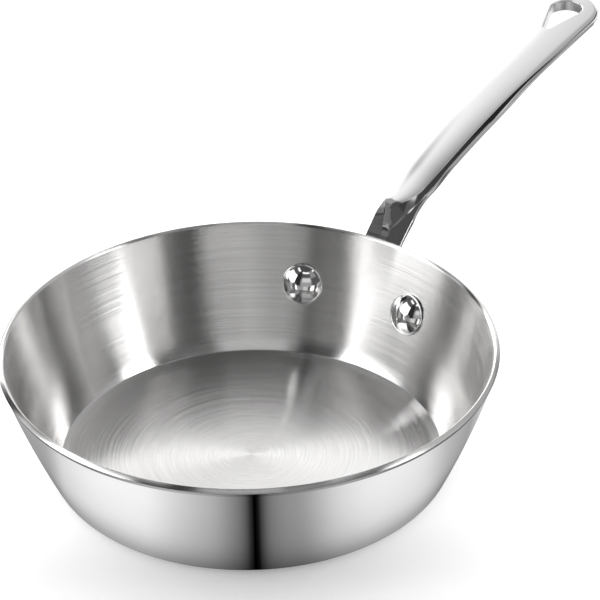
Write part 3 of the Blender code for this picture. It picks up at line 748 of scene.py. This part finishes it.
def halfSection(x, turn, middle, share):
    # points from the middle of the top round the side to the middle underneath, and those up the hole's wall
    edge, out = outlineAt(x, turn)
    sizes = gripSizes(edge.x)
    small, big, level, quarter = sizes["edgeRound"], sizes["underRound"], sizes["ledge"], pi / 2
    across, steps = shares(handle["acrossSteps"]), handle["arcSteps"]
    start = edge - out * small
    fall = 0.0
    if edge.x >= handle["start"]:
        slope = (topLevel(start + out * tiny) - topLevel(start - out * tiny)) / (2 * tiny)
        fall = max(0.0, atan(-slope))
    start = edge - out * small * (1 - sin(fall))
    hole = None
    if share is None:
        inner = Vector((middle, 0.0))
    else:
        rim, way = holePoint(share)
        corner = handle["holeRound"]
        inner = rim - way * corner
        low, high = gripSizes(rim.x)["under"] + corner, topLevel(inner) - corner
        hole = (arcPoints(inner, low, way, corner, (pi, quarter), steps)
                + arcPoints(inner, high, way, corner, (quarter, 0.0), steps))
    points = [(*spot, topLevel(spot)) for spot in (inner.lerp(start, part) for part in across)]
    centre = points[-1][2] - small * cos(fall)
    points += arcPoints(edge - out * small, centre, out, small, (fall, quarter), steps)[1:]
    # side wall: leaning straight at the nose, flared at its foot further along the grip
    wideOut = handle["sideOut"] if edge.x > tipStart else sizes["wide"] - sizes["half"]
    footOut = min(sizes["foot"], wideOut * handle["footShare"])
    begin = 1 - mix(*handle["flareShares"], sizes["flare"])
    wallTop = points[-1][2]
    downs = [mix(begin, 1.0, part) for part in shares(handle["sideSteps"])]
    for down in [handle["flareLead"] * begin] + downs:
        flared = max(0.0, (down - begin) / (1 - begin)) ** 2
        spot = edge + out * footOut * mix(down, flared, sizes["flare"])
        points.append((*spot, mix(wallTop, level, down)))
    # ledge, its rounded edge and the underside
    wall = edge + out * wideOut
    ledgeRound = min(sizes["ledgeRound"], max(tiny, (wideOut - footOut) * handle["ledgeShare"]))
    corner = level - handle["ledgeDrop"] - handle["ledgeSlope"] * (wideOut - footOut)
    ledgeEdge = wall - out * ledgeRound
    spot = spot.lerp(ledgeEdge, handle["ledgeStart"])
    points.append((*spot, mix(level, corner, handle["ledgeStart"])))
    points += arcPoints(ledgeEdge, corner - ledgeRound, out, ledgeRound, (0.0, quarter), handle["ledgeSteps"])
    last = wall - out * big
    points += arcPoints(last, sizes["under"] + big, out, big, (quarter, pi), handle["underSteps"])
    beneath = (last.lerp(inner, part) for part in across[1:])
    return points + [(*spot, gripSizes(spot.x)["under"]) for spot in beneath], hole


def rooted(x, y, level, middleLevel):
    # near the root the sections lean and bend with the bowl's wall
    bend = (level - middleLevel) / tan(rootAngle) - y * y / (2 * (bowl["rimRadius"] + rootX))
    return x + bend * (1 - ease(rootX, handle["noseFoot"], x))


def gripMesh():
    builder = bmesh.new()
    sides, holes = {1: [], -1: []}, {1: [], -1: []}
    rim, height = bowl["rimRadius"], bowl["rimHeight"]
    for station in stations():
        points, hole = halfSection(*station)
        middleLevel = (points[0][2] + points[-1][2]) / 2
        for side in sides:
            sides[side].append([builder.verts.new((rim + rooted(x, y, level, middleLevel), side * y,
                                                   height + level)) for x, y, level in points])
            holes[side].append(hole and [builder.verts.new((rim + x, side * y, height + level))
                                         for x, y, level in hole])
    for side in sides:
        for near, far in zip(sides[side], sides[side][1:]):
            bridge(builder, near, far)
        for near, far in zip(holes[side], holes[side][1:]):
            for face in bridge(builder, near, far) if near and far else ():
                face.material_index = 1
    builder.faces.new(sides[1][0] + sides[-1][0][::-1])
    clean(builder, handle["gap"], handle["sliver"])
    return builder


def flangeHalfHeight(offset, along):
    distance = abs(along)
    if distance >= offset:
        return sqrt(max(0.0, flange["ear"] ** 2 - (distance - offset) ** 2))
    return flange["ear"] + flange["rise"] * (1 + cos(pi * distance / offset)) / 2


def flangeMesh():
    # plate made flat, chamfered, then wrapped round the wall
    centre = onWall(rivetAngle, 0.0).y
    reference = onWall(rivetAngle, -flange["seat"]).x
    offset = reference * radians(rivet["halfAngle"])
    outer = flange["seat"] + flange["thickness"]
    builder = bmesh.new()
    layers = []
    for out in (flange["seat"], outer):
        columns = []
        for share in shares(flange["columns"]):
            along = -(offset + flange["ear"]) * cos(pi * share)
            half = flangeHalfHeight(offset, along)
            if share in (0, 1):
                columns.append([builder.verts.new((along, out, centre))] * (flange["rows"] + 1))
            else:
                columns.append([builder.verts.new((along, out, centre + half * (2 * part - 1)))
                                for part in shares(flange["rows"])])
        layers.append(columns)
    back, front = layers
    for columns in layers:
        for left, right in zip(columns, columns[1:]):
            for j in range(flange["rows"]):
                builder.faces.new(list(dict.fromkeys([left[j], right[j], right[j + 1], left[j + 1]])))
    for i in range(flange["columns"]):
        for j in (0, flange["rows"]):
            builder.faces.new((back[i][j], back[i + 1][j], front[i + 1][j], front[i][j]))
    bmesh.ops.recalc_face_normals(builder, faces=builder.faces)
    # the edges that the outer face shares with the sides
    edges = [edge for edge in builder.edges
             if all(abs(vertex.co.y - outer) < tiny for vertex in edge.verts)
             and any(abs(face.normal.y) < 0.5 for face in edge.link_faces)]
    bmesh.ops.bevel(builder, geom=edges, offset=flange["chamfer"], segments=flange["chamferSteps"],
                    profile=0.5, affect="EDGES")
    for vertex in builder.verts:
        along, out, height = vertex.co
        around = along / reference
        radius, level = onWall(wallAngleAt(height), -out)
        vertex.co = (radius * cos(around), radius * sin(around), level)
    bmesh.ops.recalc_face_normals(builder, faces=builder.faces)
    return builder


grip = objectFrom("handleCasting", gripMesh())
grip.data.materials.append(handlePolish)
grip.data.materials.append(holeFinish)
settle(grip)
plate = objectFrom("handleFlange", flangeMesh())
plate.data.materials.append(handlePolish)
settle(plate)
for piece in (grip, plate):
    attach(piece, "root")
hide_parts("handle")
print("handle made", len(grip.data.polygons), len(plate.data.polygons))

# camera


def placeCamera():
    rise, roll = radians(view["rise"]), radians(view["roll"])
    forward = Vector((0.0, cos(rise), -sin(rise)))
    up = Vector((0.0, sin(rise), cos(rise)))
    right = Vector((1.0, 0.0, 0.0))
    right, up = cos(roll) * right + sin(roll) * up, -sin(roll) * right + cos(roll) * up
    place = (Vector((0.0, 0.0, view["lookHeight"]))
             - view["distance"] * (view["across"] * right + view["up"] * up + forward))
    turn = Matrix.Rotation(radians(view["turn"]), 3, "Z")
    axes = Matrix((turn @ right, turn @ up, turn @ -forward)).transposed().to_4x4()
    axes.translation = turn @ place
    data = bpy.data.cameras.new("camera")
    data.lens = view["lens"]
    data.clip_start, data.clip_end = view["nearest"], view["furthest"]
    camera = newObject("camera", data)
    camera.matrix_world = axes
    bpy.context.scene.camera = camera


placeCamera()

# studio

studio = {
    "floorRadius": 4.0, "floorSides": 96, "floorWhite": 0.82, "floorRoughness": 0.9, "floorGlow": 0.24,
    # soft light from above and behind, and the rest of the room's light
    "roomLight": 0.78, "lampShare": 0.34, "lampAngle": 92, "lampRise": 76, "lampSize": 70,
    # painted light: the paper's glow is raised behind the pan and beside it, so it looks lit more there than in
    # front of it
    "rearPaintedLight": 0.27, "rearFrom": -0.085, "rearTo": -0.03,
    # soft boxes and flags round the table, seen only in the metal: where each starts and ends round the
    # camera's right and above the table, in degrees, its glow, and how soft its edges are both ways
    "domeRadius": 3.0, "domeStep": 2.5, "domeTop": 89.9, "roomGlow": 0.1,
    "panels": (
        ("rearRightGlow", 4, 60, -30, 54, 0.47, 10, 14),
        ("rearPaper", 68, 134, -30, 57, 1.08, 56, 34),
        ("rearTable", 58, 110, -30, 12, 2.3, 14, 8),
        ("rearEdge", 86, 104, -30, 34, 1.6, 8, 10),
        ("cameraShade", 214, 366, -30, 58, 0.1, 5, 6),
        ("cameraGlow", 242, 291, 2, 38, 0.36, 9, 8),
        ("highGlow", 248, 288, 25, 42, 0.74, 8, 9),
        ("overheadBank", 172, 366, 60, 66, 1.4, 8, 4),
        ("overheadGap", 214, 236, 40, 68, 0.06, 4, 4),
        ("rightGap", 291, 322, 40, 68, 0.3, 4, 4),
        ("rearLeftBox", 98, 135, -30, 27, 3.8, 6, 6),
        ("leftFlag", 135, 153, -30, 75, 0.02, 4, 8),
        ("leftGap", 153, 171, -30, 28, 0.9, 5, 5),
        ("leftBox", 170, 214, -30, 43, 3.1, 4, 8),
        ("leftFoot", 199, 217, -30, 8, 0.12, 3, 3),
        ("leftShade", 214, 240, -30, 57, 0.03, 3, 6),
        ("rightBox", 331, 354, 13, 37, 4.9, 4, 4),
        ("rightGlow", 350, 377, 14, 50, 0.6, 8, 8),
        ("rightFoot", 318, 364, -30, 7, 0.17, 5, 4),
        ("rightFlag", 18, 49, -30, 9, 0.03, 7, 5),
        ("noseCard", 208, 224, -30, 15, 0.18, 3, 4),
        ("topFlag", 0, 360, 68, 100, 0.08, 10, 5),
        ("roofCard", 97, 134, 37, 68, 0.38, 10, 8),
        ("roofSide", 132, 149, 42, 72, 0.2, 6, 8),
    ),
    # cards on the table close round the bowl: glow at each angle, and how it grows outwards; dim next to the
    # bowl, they are a painted shadow that the metal reflects
    "cardStart": 0.0765, "cardEnd": 0.125, "cardFade": 0.15, "cardLift": 0.0002,
    "cardRows": 20, "tableRows": 60,
    "cardGlow": ((0, 0.4), (17, 0.65), (45, 0.75), (75, 0.55), (100, 0.8), (130, 0.6), (160, 0.38),
                 (180, 0.4), (191, 0.45), (197, 0.62), (201, 0.8), (208, 0.93), (216, 1.03), (228, 1.08),
                 (237, 1.05), (242, 0.93), (247, 0.78), (253, 0.63), (259, 0.49), (264, 0.31), (267, 0.2),
                 (269, 0.1), (270.5, 0.01), (272.5, 0.01), (274, 0.1), (276, 0.21), (280, 0.3),
                 (286, 0.38), (291, 0.54), (297, 0.76), (303, 0.9), (308, 0.98), (316, 1.00), (326, 0.96),
                 (332, 0.88), (338, 0.73), (344, 0.58), (351, 0.48), (360, 0.4)),
    "cardShadowGrowth": ((0.0765, 0.24), (0.084, 0.44), (0.089, 0.7), (0.095, 0.87), (0.101, 0.93),
                   (0.108, 0.98), (0.114, 1.0)),
    # cards further out, as angles, distances, glow and soft edges
    "tableGlow": 0.2,
    "farCards": (
        ("rearCard", 66, 125, 0.4, 2.2, 1.05, 14, 0.1),
        ("rightCard", 14, 67, 0.115, 0.62, 0.78, 10, 0.06),
        ("sideCard", 47, 72, 0.17, 0.27, 0.45, 8, 0.05),
        ("tipCard", 45, 68, 0.3, 0.5, 1.08, 6, 0.06),
        ("lowShade", 8, 30, 0.38, 1.0, 0.25, 8, 0.06),
        ("lowSide", 29, 38, 0.43, 1.0, 0.27, 4, 0.05),
        ("neckFlag", -22, 20, 0.13, 0.235, 0.09, 8, 0.02),
        ("neckSide", 18, 37, 0.162, 0.226, 0.11, 3, 0.008),
        ("neckShade", -2, 17, 0.196, 0.24, 0.05, 6, 0.01),
        ("stripNear", 29, 47, 0.165, 0.262, 0.06, 3, 0.02),
        ("stripMiddle", 37.5, 47, 0.25, 0.3, 0.05, 2.5, 0.02),
        ("stripFar", 38.5, 47, 0.29, 0.43, 0.02, 2, 0.03),
    ),
}


def softBand(low, high, edge, x):
    # 1 between low and high, 0 outside, with soft edges
    return ease(low - edge / 2, low + edge / 2, x) * (1 - ease(high - edge / 2, high + edge / 2, x))


def softTurn(start, end, edge, angle):
    # the same round the table, where a full turn has no ends
    if end - start >= 360:
        return 1.0
    return max(softBand(start, end, edge, angle + turn) for turn in (-360, 0, 360))


def cardsOver(glow, cards, angle, away):
    # each card covers what lies under it
    for name, start, end, low, high, strength, edge, edgeAway in cards:
        glow = mix(glow, strength, softTurn(start, end, edge, angle) * softBand(low, high, edgeAway, away))
    return glow


def tableGlow(angle, radius):
    # near the bowl the cards' glow is cut down as a painted shadow, seen only in the metal
    near = curveThrough(studio["cardGlow"], angle % 360) * curveThrough(studio["cardShadowGrowth"], radius)
    far = cardsOver(studio["tableGlow"], studio["farCards"], angle, radius)
    return mix(near, far, ease(studio["cardEnd"], studio["cardFade"], radius))


def glowMaterial():
    # plain light from the strength stored on each point
    material, tree = newMaterial("studioGlow")
    tree.nodes.clear()
    stored = addNode(tree, "ShaderNodeAttribute", attribute_name="glow")["Fac"]
    light = addNode(tree, "ShaderNodeEmission", {"Strength": stored})
    addNode(tree, "ShaderNodeOutputMaterial", {"Surface": light[0]})
    material.cycles.emission_sampling = "NONE"
    return material


def glowingSheet(name, rows):
    # rows of (place, glow) points, joined into a sheet that only reflections see
    builder = bmesh.new()
    layer = builder.verts.layers.float.new("glow")
    rings = []
    for row in rows:
        rings.append([builder.verts.new(place) for place, glow in row])
        for corner, (place, glow) in zip(rings[-1], row):
            corner[layer] = glow
    for near, far in zip(rings, rings[1:]):
        bridge(builder, near, far, closed=True)
    sheet = objectFrom(name, builder)
    sheet.data.materials.append(glowMaterial())
    for ray in ("camera", "diffuse", "transmission", "volume_scatter", "shadow"):
        setattr(sheet, "visible_" + ray, False)


def makePanels():
    step, far = studio["domeStep"], studio["domeRadius"]
    angles = [k * step for k in range(round(360 / step))]
    rises = [min(k * step - step, studio["domeTop"]) for k in range(round(90 / step) + 2)]
    glowingSheet("softBoxes", [
        [(far * wayAt(angle, rise), cardsOver(studio["roomGlow"], studio["panels"], angle, rise))
         for angle in angles] for rise in rises])
    start, fade = studio["cardStart"], studio["cardFade"]
    angles = [k * step / 2 for k in range(round(720 / step))]
    radii = [mix(start, fade, share) for share in shares(studio["cardRows"])]
    radii += [fade * (far / fade) ** share for share in shares(studio["tableRows"])[1:]]
    lift = Vector((0.0, 0.0, studio["cardLift"]))
    glowingSheet("tableCards", [
        [(radius * wayAt(angle) + lift, tableGlow(angle, radius)) for angle in angles] for radius in radii])


def seenRays(tree):
    # 1 for what the camera, a reflection or glass sees, 0 for what lights the object
    path = addNode(tree, "ShaderNodeLightPath")
    seen = mathNode(tree, "MAXIMUM", path["Is Camera Ray"], path["Is Glossy Ray"])
    return mathNode(tree, "MAXIMUM", seen, path["Is Transmission Ray"])


def makeWorld():
    world = bpy.data.worlds.new("studio")
    bpy.context.scene.world = world
    world.use_nodes = True
    tree, room = world.node_tree, studio["roomLight"]
    strength = mathNode(tree, "ADD", mathNode(tree, "MULTIPLY", seenRays(tree), 1.0 - room), room)
    feed(tree, tree.nodes["Background"], {"Color": (1.0, 1.0, 1.0, 1.0), "Strength": strength})


def makeLamp():
    lamp = bpy.data.lights.new("softLamp", "SUN")
    lamp.energy = pi * studio["lampShare"] / sin(radians(studio["lampRise"]))
    lamp.angle = radians(studio["lampSize"])
    holder = newObject("softLamp", lamp)
    way = wayAt(studio["lampAngle"], studio["lampRise"])
    holder.rotation_euler = way.to_track_quat("Z", "Y").to_euler()
    holder.visible_glossy = False


def makeFloor():
    builder = bmesh.new()
    bmesh.ops.create_circle(builder, cap_ends=True, segments=studio["floorSides"], radius=studio["floorRadius"])
    floor = objectFrom("floor", builder)
    material, tree = newMaterial("floorPaper")
    place = addNode(tree, "ShaderNodeTexCoord")["Object"]
    # painted light: the glow that the camera and reflections see rises from in front of the pan to behind it
    glow = rangeNode(tree, vectorNode(tree, "DOT_PRODUCT", place, wayAt(90)), studio["rearFrom"],
                     studio["rearTo"], studio["floorGlow"], studio["floorGlow"] + studio["rearPaintedLight"],
                     interpolation_type="SMOOTHSTEP")
    feed(tree, tree.nodes["Principled BSDF"], {
        "Base Color": (*[studio["floorWhite"]] * 3, 1.0), "Roughness": studio["floorRoughness"],
        "Specular IOR Level": 0.0, "Emission Color": (1.0, 1.0, 1.0, 1.0),
        "Emission Strength": mathNode(tree, "MULTIPLY", seenRays(tree), glow)})
    floor.data.materials.append(material)


makeWorld()
makeLamp()
makeFloor()
makePanels()
print("studio made")
